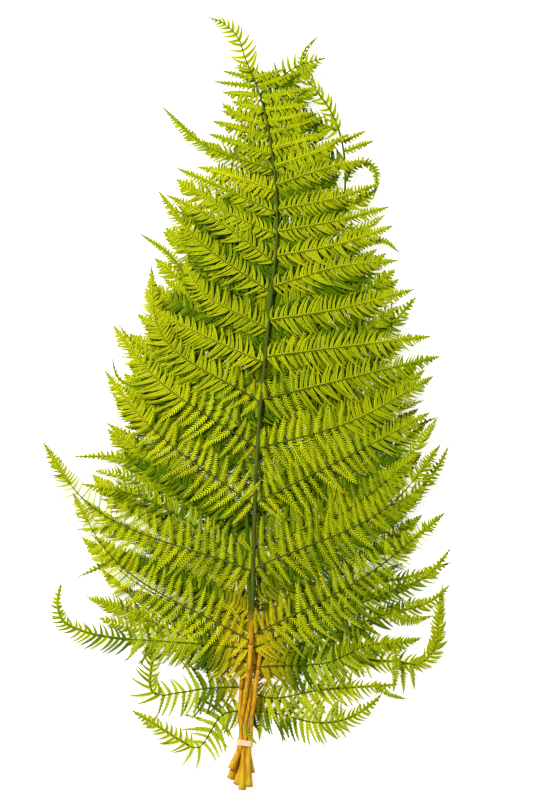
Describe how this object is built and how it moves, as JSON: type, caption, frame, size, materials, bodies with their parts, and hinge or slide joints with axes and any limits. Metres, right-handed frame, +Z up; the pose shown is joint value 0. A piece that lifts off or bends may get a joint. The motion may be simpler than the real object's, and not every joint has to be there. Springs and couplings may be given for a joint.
{
  "type": "tied bunch of fern fronds",
  "caption": "Flat tied bunch of cut fern fronds laid on each other, with pinnate leaf blades, bare straw-coloured stalks and a rubber band round them.",
  "frame": {"origin": "under the middle of the bunch's box, on the surface that it rests on", "axes": "+Y from the cut stalk ends to the frond tips, +Z up out of the surface, +X to the right as seen from above"},
  "size_m": [0.411, 0.7776, 0.0313],
  "materials": {
    "leaf": "fresh yellow-green fern leaf, satin",
    "stalk": "straw-coloured fresh stalk, satin",
    "band": "cream rubber, matte"
  },
  "bodies": {
    "root": {"frond_1": "leaf", "frond_2": "leaf", "frond_3": "leaf", "frond_4": "leaf", "frond_5": "leaf", "frond_6": "leaf", "stipe_1": "stalk", "stipe_2": "stalk", "stipe_3": "stalk", "stipe_4": "stalk", "stipe_5": "stalk", "stipe_6": "stalk", "tie_band": "band"}
  },
  "joints": []
}
